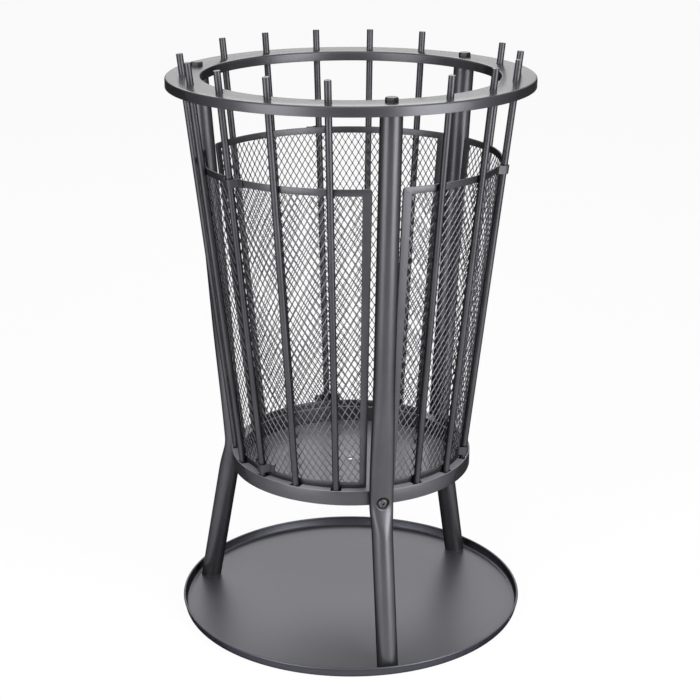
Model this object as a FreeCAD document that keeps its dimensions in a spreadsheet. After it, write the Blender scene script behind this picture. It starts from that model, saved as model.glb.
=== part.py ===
import FreeCAD, Part
import math
import os
import re
import Sketcher

# A round fire basket on three bent tube legs, standing in a loose ash tray.
# Frame: millimetres, +Z up, the origin under the middle of the tray, the front leg towards -Y.
# A piece that stands round the axis is drawn with its outward direction along +X and then turned.

document = FreeCAD.newDocument("FireBasket")
sheet = document.addObject("Spreadsheet::Sheet", "Dimensions")

dimensions = [
    ("positions", 18, "bar and leg places round the basket"),
    ("legCount", 3, "legs, one panel between each pair"),
    ("restGap", 0.1, "air under a piece that only rests"),
    ("weldGap", 0.2, "air between a bar and what it is tacked to"),
    # top ring, a pressed channel that is open underneath
    ("ringOuter", 215, "outer radius"),
    ("ringWidth", 41.5, "outer radius to inner radius"),
    ("ringTop", 670, "height of the top face"),
    ("ringDepth", 11.5, "height of both skirts"),
    ("ringSheet", 1.5, "sheet"),
    ("ringRound", 1.2, "inside bend radius"),
    # upright bars
    ("barRadius", 4, "bar radius"),
    ("barInset", 20.6, "ring's outer radius to the bar axes at its top face"),
    ("barAbove", 24.5, "bar above the ring"),
    ("barChamfer", 0.5, "chamfer on both ends"),
    # bottom ring, a channel with a ledge for the floor plate
    ("baseOuter", 147.8, "outer radius"),
    ("baseWidth", 14.3, "outer radius to the radius of the inner wall"),
    ("baseTop", 207.8, "height of the flange"),
    ("baseDepth", 17.5, "height of the outer skirt"),
    ("baseSheet", 1.2, "sheet"),
    ("baseRound", 1.0, "inside bend radius"),
    ("slotRoom", 2, "air beside and behind a bar in its slot in the flange"),
    ("ledgeDrop", 20.3, "flange down to the top of the ledge"),
    ("ledgeWidth", 11, "ledge under the plate"),
    # floor plate
    ("plateClear", 1.2, "air round the plate"),
    ("plateSheet", 1.5, "sheet"),
    ("plateHole", 4, "radius of the centre hole"),
    # legs
    ("tubeRadius", 12.5, "outer radius"),
    ("tubeWall", 1.5, "wall"),
    ("legInset", 23.3, "ring's outer radius to the leg axis at its top face"),
    ("bendDrop", 8.8, "flange down to the bend"),
    ("legBendRadius", 60, "radius of the bend"),
    ("footInset", 21.4, "tray's outer radius to the leg axis at its floor"),
    ("pressedSqueeze", 7, "thickness lost where the tube is pressed flat"),
    ("pressedBulge", 3, "width gained there"),
    ("pressedStart", 160, "bend up to where the round tube begins to flatten"),
    ("pressedFull", 24, "bend up to where it is flat"),
    ("pressedHold", 9, "bend down to where it begins to round again"),
    ("pressedEnd", 34, "bend down to where it is round"),
    ("seatGap", 0.15, "air between a pressed leg and the ring"),
    ("plugLength", 22, "threaded plug in the top of a leg"),
    ("plugClear", 0.1, "air round the plug"),
    ("capFlange", 2, "foot cap under the tube end"),
    ("capLength", 14, "foot cap inside the tube"),
    # fasteners
    ("boltRadius", 4, "top bolt"),
    ("boltFlats", 13, "across the flats of its head"),
    ("boltHead", 5.3, "height of its head"),
    ("boltLength", 20, "shank"),
    ("screwRadius", 3, "leg screw"),
    ("screwHeadRadius", 5.25, "its head"),
    ("screwHead", 3.3, "height of its head"),
    ("screwSocket", 4, "across the flats of its socket"),
    ("dimpleRoom", 1.15, "air round the screw head in its dimple"),
    ("dimpleDepth", 3, "dimple"),
    ("nutFlats", 10, "across the flats of the nut"),
    ("nutHeight", 5, "nut"),
    ("nutGap", 0.025, "air between the nut's corners and the skirt"),
    ("threadClear", 0.1, "radial air in a tapped hole"),
    ("holeClear", 0.3, "radial air in a drilled hole"),
    # mesh panels
    ("panelDrop", 96, "top face of the ring down to the upper edge"),
    ("panelHalfAngle", 54.5, "half of the arc that a panel covers"),
    ("windowHalfAngle", 51.6, "half of the arc of its mesh"),
    ("panelThick", 2.4, "folded edge strip"),
    ("panelBand", 8, "height of the upper and lower strips"),
    ("panelCorner", 6, "radius of the upper corners"),
    ("panelBarGap", 0.3, "air between a panel and the bars"),
    ("meshThick", 0.8, "mesh sheet"),
    ("meshGroove", 0.1, "air on each side of the mesh in the strip"),
    ("meshTuck", 4, "mesh inside the strip"),
    # clips that hold a panel to its middle bar
    ("clipHeight", 10, "height of a clip"),
    ("clipSheet", 1.2, "sheet"),
    ("clipEar", 8, "flat ear on each side"),
    ("clipSpan", 9, "half of the width between the ears"),
    ("clipGap", 0.4, "air round the bar"),
    ("lowClipRise", 5.7, "flange up to the lower clip"),
    ("topClipDrop", 0.5, "upper clip above the panel edge"),
    # ash tray
    ("trayRadius", 214, "outer radius of the rim"),
    ("trayHeight", 12.5, "height of the rim"),
    ("traySheet", 1.2, "sheet"),
    ("trayRound", 3, "inside bend radius"),
    ("trayFlare", 1.5, "lean of the wall"),
    ("hemRadius", 1.5, "radius of the rolled rim"),
]

for row, (alias, value, note) in enumerate(dimensions, 1):
    sheet.set(f"A{row}", alias)
    sheet.set(f"B{row}", str(value))
    sheet.setAlias(f"B{row}", alias)
    sheet.set(f"C{row}", note)
document.recompute()

# sizes that follow from the sheet
derived = {
    "ringInner": "ringOuter - ringWidth",
    "barTopPitch": "ringOuter - barInset",
    "legTopPitch": "ringOuter - legInset",
    "baseInner": "baseOuter - baseWidth",
    "barLowPitch": "baseOuter - baseSheet - weldGap - barRadius",
    "barSlope": "(barTopPitch - barLowPitch) / (ringTop - baseTop)",
    "barStretch": "sqrt(1 + barSlope ^ 2)",
    "slotInner": "barLowPitch - barRadius - slotRoom",
    "legBendHeight": "baseTop - bendDrop",
    "legFootPitch": "trayRadius - footInset",
    "pressedDepth": "2 * tubeRadius - pressedSqueeze",
    "pressedWidth": "2 * tubeRadius + pressedBulge",
    "dimpleRadius": "screwHeadRadius + dimpleRoom",
    "panelTop": "ringTop - panelDrop",
}
aliases = [alias for alias, value, note in dimensions]
aliasPattern = re.compile(r"\b(" + "|".join(aliases) + r")\b")
derivedPattern = re.compile(r"\b(" + "|".join(derived) + r")\b")
subParts = []


def bound(text):
    # an expression on the sheet's aliases alone
    while derivedPattern.search(text):
        text = derivedPattern.sub(lambda found: "(" + derived[found.group()] + ")", text)
    return aliasPattern.sub(r"Dimensions.\1", text)


def worth(text):
    value = sheet.evalExpression(bound(text))
    return float(getattr(value, "Value", value))


def size(name):
    return worth(name)


def vector(x, y, z):
    return FreeCAD.Vector(x, y, z)


def turned(angle):
    # the outward direction +X turned to an angle from the front, -Y, towards +X
    return FreeCAD.Placement(vector(0, 0, 0), FreeCAD.Rotation(vector(0, 0, 1), angle - 90))


def keep(piece, name):
    piece.Label = name
    subParts.append(piece)
    return piece


# Bodies and sketches

def newBody(name):
    return document.addObject("PartDesign::Body", name + "_body")


def originFeature(body, role):
    return next(feature for feature in body.Origin.OriginFeatures if feature.Role == role)


def newSketch(body, name, plane="XZ_Plane"):
    sketch = body.newObject("Sketcher::SketchObject", name)
    sketch.AttachmentSupport = [(originFeature(body, plane), "")]
    sketch.MapMode = "FlatFace"
    return sketch


def pin(sketch, geometry, point, place):
    # ties one point of a sketch to a pair of expressions
    for kind, axis, text in (("DistanceX", -2, place[0]), ("DistanceY", -1, place[1])):
        value = worth(text)
        if abs(value) < 1e-9:
            sketch.addConstraint(Sketcher.Constraint("PointOnObject", geometry, point, axis))
        else:
            index = sketch.addConstraint(Sketcher.Constraint(kind, -1, 1, geometry, point, value))
            sketch.setExpression(f"Constraints[{index}]", bound(text))


def addLoop(sketch, places):
    corners = [vector(worth(across), worth(up), 0) for across, up in places]
    first = sketch.GeometryCount
    count = len(corners)
    lines = [Part.LineSegment(corners[i], corners[(i + 1) % count]) for i in range(count)]
    sketch.addGeometry(lines, False)
    for i in range(count):
        following = first + (i + 1) % count
        sketch.addConstraint(Sketcher.Constraint("Coincident", first + i, 2, following, 1))
    for i, place in enumerate(places):
        pin(sketch, first + i, 1, place)


def addCircle(sketch, place, radius):
    centre = vector(worth(place[0]), worth(place[1]), 0)
    index = sketch.addGeometry(Part.Circle(centre, vector(0, 0, 1), worth(radius)), False)
    pin(sketch, index, 3, place)
    radiusIndex = sketch.addConstraint(Sketcher.Constraint("Radius", index, worth(radius)))
    sketch.setExpression(f"Constraints[{radiusIndex}]", bound(radius))


def revolved(body, name, places):
    sketch = newSketch(body, name + "_outline")
    addLoop(sketch, places)
    feature = body.newObject("PartDesign::Revolution", name)
    feature.Profile = sketch
    feature.ReferenceAxis = (sketch, ["V_Axis"])
    feature.Angle = 360
    document.recompute()
    return feature


def rounded(body, name, radius, corners):
    # rounds the circular edges that pass through (radius, height) pairs
    base = body.Tip
    wanted = [(worth(across), worth(up)) for across, up in corners]
    chosen = []
    for index, edge in enumerate(base.Shape.Edges, 1):
        point = edge.Vertexes[0].Point
        place = (math.hypot(point.x, point.y), point.z)
        if any(math.dist(place, corner) < 0.01 for corner in wanted):
            chosen.append(f"Edge{index}")
    feature = body.newObject("PartDesign::Fillet", name)
    feature.Base = (base, chosen)
    feature.setExpression("Radius", bound(radius))
    document.recompute()
    return feature


def pocketed(body, sketch, name, depth=None, reverse=False):
    feature = body.newObject("PartDesign::Pocket", name)
    feature.Profile = sketch
    feature.Reversed = reverse
    if depth is None:
        feature.Type = "ThroughAll"
    else:
        feature.setExpression("Length", bound(depth))
    document.recompute()
    return feature


def patterned(body, feature, name):
    pattern = body.newObject("PartDesign::PolarPattern", name)
    pattern.Originals = [feature]
    pattern.Axis = (originFeature(body, "Z_Axis"), [""])
    pattern.Angle = 360
    pattern.setExpression("Occurrences", bound("legCount"))
    body.Tip = pattern
    document.recompute()
    return pattern


barsPerSector = int(size("positions") / size("legCount")) - 1
positionAngle = 360 / size("positions")
legAngle = 360 / size("legCount")


def sectorAngles():
    # angles from +X of one sector's bars, for a sector that starts at the front leg
    return [positionAngle * step - 90 for step in range(1, barsPerSector + 1)]


# The bars lean from inside the bottom ring's skirt to their pitch circle in the top ring

barSlope = size("barSlope")
barLean = math.degrees(math.atan(barSlope))


def barPitch(height):
    return size("barLowPitch") + (height - size("baseTop")) * barSlope


def makeTopRing():
    body = newBody("top_ring")
    revolved(body, "top_ring_channel", [
        ("ringInner", "ringTop - ringDepth"),
        ("ringInner", "ringTop"),
        ("ringOuter", "ringTop"),
        ("ringOuter", "ringTop - ringDepth"),
        ("ringOuter - ringSheet", "ringTop - ringDepth"),
        ("ringOuter - ringSheet", "ringTop - ringSheet"),
        ("ringInner + ringSheet", "ringTop - ringSheet"),
        ("ringInner + ringSheet", "ringTop - ringDepth"),
    ])
    rounded(body, "top_ring_outside_bend", "ringRound + ringSheet",
            [("ringInner", "ringTop"), ("ringOuter", "ringTop")])
    rounded(body, "top_ring_inside_bend", "ringRound", [
        ("ringOuter - ringSheet", "ringTop - ringSheet"),
        ("ringInner + ringSheet", "ringTop - ringSheet"),
    ])
    holes = newSketch(body, "top_ring_holes", "XY_Plane")
    pitch = "(barTopPitch - ringSheet / 2 * barSlope)"
    for angle in sectorAngles():
        place = (f"{pitch} * cos({angle} deg)", f"{pitch} * sin({angle} deg)")
        addCircle(holes, place, "barRadius * barStretch + weldGap + ringSheet / 2 * barSlope")
    boltPlace = ("legTopPitch * cos(-90 deg)", "legTopPitch * sin(-90 deg)")
    addCircle(holes, boltPlace, "boltRadius + holeClear")
    patterned(body, pocketed(body, holes, "top_ring_hole_cut", reverse=True), "top_ring_hole_pattern")
    return keep(body, "top_ring")


def makeBottomRing():
    body = newBody("bottom_ring")
    revolved(body, "bottom_ring_channel", [
        ("baseInner - ledgeWidth", "baseTop - ledgeDrop - baseSheet"),
        ("baseInner + baseSheet", "baseTop - ledgeDrop - baseSheet"),
        ("baseInner + baseSheet", "baseTop - baseSheet"),
        ("baseOuter - baseSheet", "baseTop - baseSheet"),
        ("baseOuter - baseSheet", "baseTop - baseDepth"),
        ("baseOuter", "baseTop - baseDepth"),
        ("baseOuter", "baseTop"),
        ("baseInner", "baseTop"),
        ("baseInner", "baseTop - ledgeDrop"),
        ("baseInner - ledgeWidth", "baseTop - ledgeDrop"),
    ])
    rounded(body, "bottom_ring_outside_bend", "baseRound + baseSheet", [
        ("baseOuter", "baseTop"),
        ("baseInner + baseSheet", "baseTop - ledgeDrop - baseSheet"),
    ])
    rounded(body, "bottom_ring_flange_lip", "baseRound", [("baseInner", "baseTop")])
    slots = newSketch(body, "bottom_ring_slots", "XY_Plane")
    for angle in sectorAngles():
        corners = []
        for across, side in (("slotInner", "-1"), ("(baseOuter - baseSheet)", "-1"),
                             ("(baseOuter - baseSheet)", "1"), ("slotInner", "1")):
            reach = "(barRadius + slotRoom) * " + side
            corners.append((f"{across} * cos({angle} deg) - {reach} * sin({angle} deg)",
                            f"{across} * sin({angle} deg) + {reach} * cos({angle} deg)"))
        addLoop(slots, corners)
    patterned(body, pocketed(body, slots, "bottom_ring_slot_cut", reverse=True), "bottom_ring_slot_pattern")
    holes = newSketch(body, "bottom_ring_screw_hole", "XZ_Plane")
    holes.setExpression("AttachmentOffset.Base.z", bound("baseOuter + 1"))
    addCircle(holes, ("0", "legBendHeight"), "screwRadius + holeClear")
    cut = pocketed(body, holes, "bottom_ring_screw_cut", depth="baseSheet + 3")
    patterned(body, cut, "bottom_ring_screw_pattern")
    return keep(body, "bottom_ring")


def makeFloorPlate():
    body = newBody("floor_plate")
    low = "baseTop - ledgeDrop + restGap"
    revolved(body, "floor_plate_disc", [
        ("plateHole", low),
        ("baseInner - plateClear", low),
        ("baseInner - plateClear", low + " + plateSheet"),
        ("plateHole", low + " + plateSheet"),
    ])
    rounded(body, "floor_plate_edge", "plateSheet / 4", [("baseInner - plateClear", low + " + plateSheet")])
    return keep(body, "floor_plate")


def makeTray():
    body = newBody("base_tray")
    wallTop = "trayHeight - hemRadius"
    foot = "(trayRadius - hemRadius - trayFlare)"
    head = "(trayRadius - hemRadius)"
    revolved(body, "base_tray_pan", [
        ("0", "0"),
        (foot + " + traySheet / 2", "0"),
        (head + " + traySheet / 2", wallTop),
        (head + " - traySheet / 2", wallTop),
        (foot + " - traySheet / 2", "traySheet"),
        ("0", "traySheet"),
    ])
    rounded(body, "base_tray_outside_bend", "trayRound + traySheet", [(foot + " + traySheet / 2", "0")])
    rounded(body, "base_tray_inside_bend", "trayRound", [(foot + " - traySheet / 2", "traySheet")])
    hem = newSketch(body, "base_tray_hem_outline")
    addCircle(hem, (head, wallTop), "hemRadius")
    roll = body.newObject("PartDesign::Revolution", "base_tray_hem")
    roll.Profile = hem
    roll.ReferenceAxis = (hem, ["V_Axis"])
    roll.Angle = 360
    document.recompute()
    return keep(body, "base_tray")


def makeBar(name, angle):
    # drawn upright, then leaned and turned into its place
    lift = "barRadius * barSlope / barStretch"
    span = f"((ringTop + barAbove - baseTop + baseDepth - {lift}) * barStretch)"
    body = newBody(name)
    revolved(body, name + "_rod", [
        ("0", "0"),
        ("barRadius - barChamfer", "0"),
        ("barRadius", "barChamfer"),
        ("barRadius", span + " - barChamfer"),
        ("barRadius - barChamfer", span),
        ("0", span),
    ])
    low = size("baseTop") - size("baseDepth") + worth(lift)
    lean = FreeCAD.Rotation(vector(0, 1, 0), barLean)
    body.Placement = turned(angle).multiply(FreeCAD.Placement(vector(barPitch(low), 0, low), lean))
    return keep(body, name)


# Solids that Part's own functions make

def keepShape(name, shape, angle=0.0):
    feature = document.addObject("Part::Feature", name + "_shape")
    feature.Shape = shape
    feature.Placement = turned(angle).multiply(shape.Placement)
    return keep(feature, name)


def slab(low, high):
    reach = 2 * size("ringOuter")
    return Part.makeBox(2 * reach, 2 * reach, high - low, vector(-reach, -reach, low))


def hexPrism(flats, height, base, axis):
    corner = flats / math.sqrt(3)
    corners = [vector(corner * math.cos(math.radians(60 * i)), corner * math.sin(math.radians(60 * i)), 0)
               for i in range(7)]
    prism = Part.Face(Part.makePolygon(corners)).extrude(vector(0, 0, height))
    prism.Placement = FreeCAD.Placement(base, FreeCAD.Rotation(vector(0, 0, 1), axis))
    return prism


# The leg's axis lies in the XZ plane: two straight runs that meet the bend's arc as tangents

trayTop = size("traySheet")
capLow = trayTop + size("restGap")
legLow = capLow + size("capFlange")
legHigh = size("ringTop") - size("ringSheet") - size("restGap")
bendPitch = size("baseOuter") + size("seatGap") + size("pressedDepth") / 2
bendRadius = size("legBendRadius")
bendCentre = vector(bendPitch + bendRadius, 0, size("legBendHeight"))
legTopPoint = vector(size("legTopPitch"), 0, size("ringTop"))
legFootPoint = vector(size("legFootPitch"), 0, trayTop)


def touchPoint(end, side):
    # where the line from an end of the leg meets the arc
    reach = end - bendCentre
    angle = math.atan2(reach.z, reach.x) + side * math.acos(bendRadius / reach.Length)
    return bendCentre + vector(math.cos(angle), 0, math.sin(angle)) * bendRadius


legTopTouch = touchPoint(legTopPoint, 1)
legFootTouch = touchPoint(legFootPoint, -1)
upperRun = (legTopTouch - legTopPoint).normalize()
lowerRun = (legFootPoint - legFootTouch).normalize()


def legPitch(height):
    # radius of the leg's axis at a height
    if height >= legTopTouch.z:
        return legTopPoint.x + (height - legTopPoint.z) * upperRun.x / upperRun.z
    if height <= legFootTouch.z:
        return legFootPoint.x + (height - legFootPoint.z) * lowerRun.x / lowerRun.z
    return bendCentre.x - math.sqrt(bendRadius ** 2 - (height - bendCentre.z) ** 2)


def legStretch(height):
    # a level cut through a leaning tube is longer than the tube is thick
    slope = legPitch(height + 0.5) - legPitch(height - 0.5)
    return math.hypot(1, slope)


sectionPoints = 24
sectionStep = 12
pressedPower = 1.1


def eased(share):
    share = max(0, min(1, share))
    return share * share * (3 - 2 * share)


def pressedShare(height):
    # 0 where the tube is round, 1 where it is flat
    rise = height - size("legBendHeight")
    if rise > 0:
        return eased((size("pressedStart") - rise) / (size("pressedStart") - size("pressedFull")))
    return eased((size("pressedEnd") + rise) / (size("pressedEnd") - size("pressedHold")))


def legSection(height, inset):
    # a level closed spline that goes from a circle to a flattened oval
    press = pressedShare(height)
    tube = size("tubeRadius")
    halfWidth = tube + press * (size("pressedWidth") / 2 - tube) - inset
    halfDepth = tube + press * (size("pressedDepth") / 2 - tube) - inset
    power = 2 / (2 + pressedPower * press)
    points = []
    for step in range(sectionPoints):
        angle = 2 * math.pi * step / sectionPoints
        across = math.copysign(abs(math.sin(angle)) ** power, math.sin(angle)) * halfWidth
        depth = math.copysign(abs(math.cos(angle)) ** power, math.cos(angle)) * halfDepth
        points.append(vector(legPitch(height) - depth * legStretch(height), across, height))
    curve = Part.BSplineCurve()
    curve.interpolate(points, PeriodicFlag=True)
    return Part.Wire([curve.toShape()])


def legWires(inset):
    # even steps keep the skin free of waves
    count = round((legHigh - legLow) / sectionStep)
    return [legSection(legHigh + (legLow - legHigh) * step / count, inset) for step in range(count + 1)]


def legTube():
    # outer and inner skins joined by a flat ring at each end
    outer = legWires(0)
    inner = legWires(size("tubeWall"))
    faces = Part.makeLoft(outer, False, False).Faces
    faces += [face.reversed() for face in Part.makeLoft(inner, False, False).Faces]
    faces += [Part.Face([outer[0], inner[0]]), Part.Face([outer[-1], inner[-1]])]
    skin = Part.Shell(faces)
    skin.sewShape()
    tube = Part.Solid(skin)
    tube.fix(0.001, 0.001, 0.001)
    return tube


def legVolume():
    return Part.makeLoft(legWires(0), True, False)


def screwCylinder(radius, nearPitch, farPitch):
    return Part.makeCylinder(radius, farPitch - nearPitch, vector(nearPitch, 0, size("legBendHeight")),
                             vector(1, 0, 0))


pressedFace = bendPitch + size("pressedDepth") / 2
dimpleFloor = pressedFace - size("dimpleDepth")
# the nut's corners rest on the hollow side of the skirt
skirtInside = size("baseOuter") - size("baseSheet")
nutFace = math.sqrt(skirtInside ** 2 - size("nutFlats") ** 2 / 3) - size("nutGap")


def makeLegShape():
    wall = size("tubeWall")
    clear = pressedFace + 2 * wall
    dimple = screwCylinder(size("dimpleRadius"), dimpleFloor, clear)
    cup = screwCylinder(size("dimpleRadius") + wall, dimpleFloor - wall, clear).cut(dimple)
    leg = legTube().cut(dimple).fuse(cup.common(legVolume()))
    drill = size("screwRadius") + size("holeClear")
    return leg.cut(screwCylinder(drill, size("baseOuter") - wall, clear))


def makePlugShape():
    low = legHigh - size("plugLength")
    radius = size("tubeRadius") - size("tubeWall") - size("plugClear")
    start = legTopPoint - upperRun * size("plugLength")
    plug = Part.makeCylinder(radius, 3 * size("plugLength"), start, upperRun).common(slab(low, legHigh))
    hole = Part.makeCylinder(size("boltRadius") + size("threadClear"), size("plugLength") + 2,
                             vector(size("legTopPitch"), 0, low - 1))
    return plug.cut(hole)


def makeCapShape():
    # the flange closes the tube's end and a plug holds it inside
    axis = legFootPoint - lowerRun * (2 * size("capLength"))
    length = 3 * size("capLength")
    flange = Part.makeCylinder(size("tubeRadius"), length, axis, lowerRun).common(slab(capLow, legLow))
    plugRadius = size("tubeRadius") - size("tubeWall") - size("plugClear")
    plug = Part.makeCylinder(plugRadius, length, axis, lowerRun)
    plug = plug.common(slab(capLow, legLow + size("capLength")))
    return flange.fuse(plug).removeSplitter()


# radius of the flat top of a bolt head as a share of half its flats
crownShare = 0.96


def makeTopBoltShape():
    head = hexPrism(size("boltFlats"), size("boltHead"), vector(0, 0, 0), vector(0, 0, 1))
    corner = size("boltFlats") / math.sqrt(3)
    flank = size("boltFlats") / 2
    flat = flank * crownShare
    crown = Part.makeCone(corner + size("boltHead"), flat, size("boltHead") + corner - flat,
                          vector(0, 0, flat - corner))
    shank = Part.makeCylinder(size("boltRadius"), size("boltLength"), vector(0, 0, -size("boltLength")))
    bolt = head.common(crown).fuse(shank).removeSplitter()
    bolt.translate(vector(size("legTopPitch"), 0, size("ringTop")))
    return bolt


# depth of the socket and rounding of the screw head as shares of the head's height
socketShare = 0.6
roundShare = 0.6


def makeLegScrewShape():
    headOuter = dimpleFloor + size("screwHead")
    head = screwCylinder(size("screwHeadRadius"), dimpleFloor, headOuter)
    edges = [edge for edge in head.Edges if abs(edge.CenterOfMass.x - headOuter) < 0.01]
    head = head.makeFillet(size("screwHead") * roundShare, edges)
    shank = screwCylinder(size("screwRadius"), nutFace - size("nutHeight") - 2, dimpleFloor)
    socketDepth = size("screwHead") * socketShare
    socket = hexPrism(size("screwSocket"), size("screwHead"),
                      vector(headOuter - socketDepth, 0, size("legBendHeight")), vector(1, 0, 0))
    return head.fuse(shank).cut(socket).removeSplitter()


def makeNutShape():
    nut = hexPrism(size("nutFlats"), size("nutHeight"), vector(nutFace - size("nutHeight"), 0,
                   size("legBendHeight")), vector(1, 0, 0))
    hole = size("screwRadius") + size("threadClear")
    return nut.cut(screwCylinder(hole, nutFace - size("nutHeight") - 1, nutFace + 1))


# Panels: shells that follow the cone just inside the bars

barInside = size("barRadius") / math.cos(math.radians(barLean))
panelLow = size("baseTop") + size("restGap")


def panelFace(height):
    # radius of a panel's outer face
    return barPitch(height) - barInside - size("panelBarGap")


def coneShell(near, far, low, high, halfAngle):
    # a shell from near to far inside the outer face, between two heights
    corners = [
        vector(panelFace(low) - far, 0, low),
        vector(panelFace(low) - near, 0, low),
        vector(panelFace(high) - near, 0, high),
        vector(panelFace(high) - far, 0, high),
    ]
    outline = Part.Face(Part.makePolygon(corners + corners[:1]))
    outline.rotate(vector(0, 0, 0), vector(0, 0, 1), -halfAngle)
    return outline.revolve(vector(0, 0, 0), vector(0, 0, 1), 2 * halfAngle)


def makePanelFrameShape():
    high = size("panelTop")
    thick = size("panelThick")
    band = size("panelBand")
    frame = coneShell(0, thick, panelLow, high, size("panelHalfAngle"))
    across = [edge for edge in frame.Edges
              if edge.Length < 1.5 * thick and min(v.Z for v in edge.Vertexes) > high - 0.01]
    frame = frame.makeFillet(size("panelCorner"), across)
    frame = frame.cut(coneShell(-1, thick + 1, panelLow + band, high - band, size("windowHalfAngle")))
    near = (thick - size("meshThick")) / 2 - size("meshGroove")
    tuck = size("meshTuck") + size("meshGroove")
    reach = math.degrees(tuck / panelFace(panelLow))
    groove = coneShell(near, thick - near, panelLow + band - tuck, high - band + tuck,
                       size("windowHalfAngle") + reach)
    return frame.cut(groove)


def makePanelMeshShape():
    band = size("panelBand")
    near = (size("panelThick") - size("meshThick")) / 2
    tuck = size("meshTuck")
    reach = math.degrees(tuck / panelFace(panelLow))
    return coneShell(near, near + size("meshThick"), panelLow + band - tuck,
                     size("panelTop") - band + tuck, size("windowHalfAngle") + reach)


def strip(points, thick):
    # a band of even thickness along a flat open line
    sides = [[], []]
    for i, point in enumerate(points):
        before = (point - points[i - 1]).normalize() if i > 0 else None
        after = (points[i + 1] - point).normalize() if i < len(points) - 1 else None
        along = ((before or after) + (after or before)).normalize()
        normal = vector(-along.y, along.x, 0)
        reach = thick / 2 / max(0.2, abs(along.dot(after or before)))
        sides[0].append(point + normal * reach)
        sides[1].append(point - normal * reach)
    outline = sides[0] + sides[1][::-1]
    return Part.Face(Part.makePolygon(outline + outline[:1]))


# where the bends of a clip lie, as shares of the hump's half width over the bar
shoulderOut = 0.55
shoulderAcross = 1.12
crownAcross = 0.62


def makeClipShape(low):
    # in the plane across the bar: X is outward from the bar's axis, Y runs across
    thick = size("clipSheet")
    middle = low + size("clipHeight") / 2
    face = panelFace(middle)
    onFace = face - barPitch(middle)
    hump = size("barRadius") + size("clipGap") + thick / 2
    shoulder = vector(hump * shoulderOut, hump * shoulderAcross, 0)
    crown = vector(hump, hump * crownAcross, 0)
    half = []
    for across in (size("clipSpan") + size("clipEar"), size("clipSpan")):
        sag = math.sqrt(face ** 2 - across ** 2) - face
        half.append(vector(onFace + sag + size("panelBarGap") / 2 + thick / 2, across, 0))
    half += [shoulder, crown]
    line = half + [vector(point.x, -point.y, 0) for point in half[::-1]]
    clip = strip(line, thick).extrude(vector(0, 0, size("clipHeight")))
    lean = FreeCAD.Rotation(vector(0, 1, 0), barLean)
    clip.Placement = FreeCAD.Placement(vector(barPitch(low), 0, low), lean)
    return clip


makeTray()
makeTopRing()
makeBottomRing()
makeFloorPlate()

legShape = makeLegShape()
legNames = ["front", "right", "left"]
for number, side in enumerate(legNames):
    angle = number * legAngle
    keepShape("leg_" + side, legShape, angle)
    keepShape("leg_plug_" + side, makePlugShape(), angle)
    keepShape("top_bolt_" + side, makeTopBoltShape(), angle)
    keepShape("leg_screw_" + side, makeLegScrewShape(), angle)
    keepShape("leg_nut_" + side, makeNutShape(), angle)
    keepShape("foot_cap_" + side, makeCapShape(), angle)

barNumber = 0
for place in range(1, int(size("positions"))):
    if place % (barsPerSector + 1):
        barNumber += 1
        makeBar("bar_%02d" % barNumber, place * positionAngle)

frameShape = makePanelFrameShape()
meshShape = makePanelMeshShape()
lowClipShape = makeClipShape(size("baseTop") + size("lowClipRise"))
topClipShape = makeClipShape(size("panelTop") + size("topClipDrop") - size("clipHeight"))
panelNames = ["right", "back", "left"]
for number, side in enumerate(panelNames):
    angle = (number + 0.5) * legAngle
    keepShape("panel_frame_" + side, frameShape, angle)
    keepShape("panel_mesh_" + side, meshShape, angle)
    keepShape("panel_clip_top_" + side, topClipShape, angle)
    keepShape("panel_clip_low_" + side, lowClipShape, angle)

document.recompute()

faults = [item.Name for item in document.Objects if {"Invalid", "Error"} & set(item.State)]
if faults:
    raise RuntimeError("objects that failed: " + ", ".join(faults))
for piece in subParts:
    if piece.Shape.isNull() or not piece.Shape.isValid() or not piece.Shape.Solids:
        raise RuntimeError("bad shape: " + piece.Label)

os.makedirs("parts", exist_ok=True)
for piece in subParts:
    piece.Shape.exportStep(os.path.join("parts", piece.Label + ".step"))
print(len(subParts), "pieces,", "bars lean %.3f degrees" % barLean)
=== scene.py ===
import math
import random
import bpy
import bmesh
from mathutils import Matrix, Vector


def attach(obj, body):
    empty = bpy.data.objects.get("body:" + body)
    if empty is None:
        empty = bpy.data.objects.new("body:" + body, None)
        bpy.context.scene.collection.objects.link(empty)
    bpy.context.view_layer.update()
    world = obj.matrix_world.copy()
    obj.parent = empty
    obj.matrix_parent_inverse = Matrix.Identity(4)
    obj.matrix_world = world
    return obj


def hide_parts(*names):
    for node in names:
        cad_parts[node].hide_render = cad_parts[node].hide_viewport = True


# A round fire basket: pressed rings, leaning bars, three bent tube legs, mesh panels and an ash tray.
# Sizes are in millimetres and are turned into metres where points are made.

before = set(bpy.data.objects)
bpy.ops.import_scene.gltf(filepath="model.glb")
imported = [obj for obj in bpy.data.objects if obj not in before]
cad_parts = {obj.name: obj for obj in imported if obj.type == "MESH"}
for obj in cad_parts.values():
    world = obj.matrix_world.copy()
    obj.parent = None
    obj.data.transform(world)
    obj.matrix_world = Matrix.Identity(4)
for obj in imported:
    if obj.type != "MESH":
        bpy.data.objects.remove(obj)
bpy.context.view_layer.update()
print("frame:", len(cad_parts), "nodes")

mm = 0.001
draws = random.Random(11)

layout = {
    "places": 18,          # bar and leg places round the basket
    "sector": 6,           # places from one leg to the next
    "ringTop": 670,
    "baseTop": 207.8,
    "barTopPitch": 194.4,  # radius of the bar axes at the ring's top face
    "barLowPitch": 142.4,  # and at the base flange
}
legAngles = {"front": 0, "right": 120, "left": 240}
panelAngles = {"right": 60, "back": 180, "left": 300}
placeAngle = 360 / layout["places"]
barAngles = [place * placeAngle for place in range(1, layout["places"]) if place % layout["sector"]]
barSlope = (layout["barTopPitch"] - layout["barLowPitch"]) / (layout["ringTop"] - layout["baseTop"])
barStretch = math.hypot(1, barSlope)


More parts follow.
